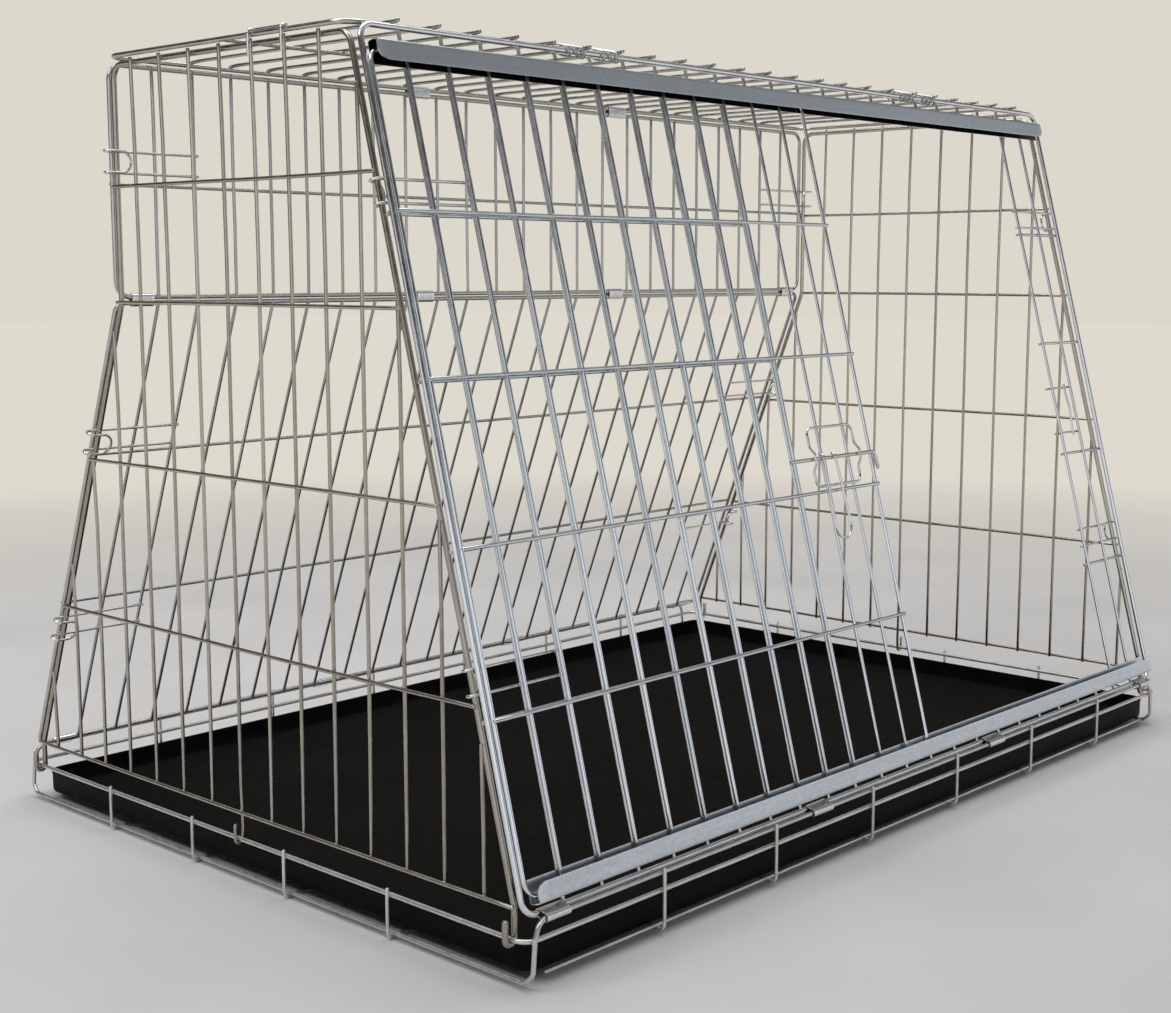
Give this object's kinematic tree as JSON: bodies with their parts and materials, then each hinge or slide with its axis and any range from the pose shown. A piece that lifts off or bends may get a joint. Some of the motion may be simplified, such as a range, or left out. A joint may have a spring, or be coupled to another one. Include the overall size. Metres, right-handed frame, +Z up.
{
  "type": "wire kennel cage",
  "caption": "Collapsible wire dog crate with a sloped front, a sliding front door, a folding two-part back, inward-folding end panels, a black tray and a thin mat.",
  "frame": {"origin": "on the floor under the centre of the base", "axes": "+Z up, +X along the length (the door slides towards +X to close), -Y is the side with the door"},
  "size_m": [0.9356, 0.6262, 0.6331],
  "materials": {
    "zinc_wire": "bright zinc plated wire",
    "zinc_sheet": "smooth galvanised sheet",
    "clip_sheet": "bright zinc plated strip",
    "tray_black": "satin black",
    "mat_black": "thin black sheet with a matt surface"
  },
  "bodies": {
    "crate_frame": {"base_frame": "zinc_wire", "tray": "tray_black", "tray_mat": "mat_black", "back_upper_panel": "zinc_wire", "back_lower_panel": "zinc_wire", "roof_panel": "zinc_wire", "front_panel": "zinc_wire", "front_panel_strip": "zinc_wire", "front_panel_sill": "zinc_wire", "front_panel_lintel": "zinc_wire", "bottom_channel": "zinc_sheet", "top_channel": "zinc_sheet", "latch_receiver": "zinc_wire", "hairpin_rear_left_upper": "zinc_wire", "hairpin_rear_left_middle": "zinc_wire", "hairpin_rear_left_lower": "zinc_wire", "hairpin_front_left_upper": "zinc_wire", "hairpin_front_left_lower": "zinc_wire", "roof_catch_left": "zinc_wire", "hairpin_rear_right_upper": "zinc_wire", "hairpin_rear_right_middle": "zinc_wire", "hairpin_rear_right_lower": "zinc_wire", "hairpin_front_right_upper": "zinc_wire", "hairpin_front_right_lower": "zinc_wire", "roof_catch_right": "zinc_wire", "front_hinge_clip_1": "clip_sheet", "front_hinge_clip_2": "clip_sheet", "front_hinge_clip_3": "clip_sheet", "front_hinge_clip_4": "clip_sheet", "rear_hinge_clip_1": "clip_sheet", "rear_hinge_clip_2": "clip_sheet", "rear_hinge_clip_3": "clip_sheet", "rear_hinge_clip_4": "clip_sheet", "mid_hinge_clip_1": "clip_sheet", "mid_hinge_clip_2": "clip_sheet", "mid_hinge_clip_3": "clip_sheet", "mid_hinge_clip_4": "clip_sheet", "roof_hinge_clip_1": "clip_sheet", "roof_hinge_clip_2": "clip_sheet", "front_hinge_coil_1": "zinc_wire", "front_hinge_coil_2": "zinc_wire", "front_hinge_coil_3": "zinc_wire", "front_hinge_coil_4": "zinc_wire"},
    "sliding_door": {"sliding_door": "zinc_wire", "bolt_staple": "zinc_wire"},
    "door_bolt": {"door_bolt": "zinc_wire"},
    "bolt_handle": {"bolt_handle": "zinc_wire"},
    "left_end_panel": {"left_end_panel": "zinc_wire"},
    "right_end_panel": {"right_end_panel": "zinc_wire"}
  },
  "joints": [
    {"name": "door_slide", "type": "slide", "parent": "crate_frame", "child": "sliding_door", "axis": [1, 0, 0], "range_m": [0, 0.352]},
    {"name": "bolt_slide", "type": "slide", "parent": "sliding_door", "child": "door_bolt", "axis": [1, 0, 0], "range_m": [0, 0.024]},
    {"name": "handle_turn", "type": "hinge", "parent": "door_bolt", "child": "bolt_handle", "pos_m": [-0.0362, -0.24007, 0.30928], "axis": [-1, 0, 0], "range_deg": [0, 150]},
    {"name": "left_end_fold", "type": "hinge", "parent": "crate_frame", "child": "left_end_panel", "pos_m": [-0.4614, 0, 0.0325], "axis": [0, 1, 0], "range_deg": [0, 86]},
    {"name": "right_end_fold", "type": "hinge", "parent": "crate_frame", "child": "right_end_panel", "pos_m": [0.4614, 0, 0.0325], "axis": [0, -1, 0], "range_deg": [0, 81]}
  ]
}
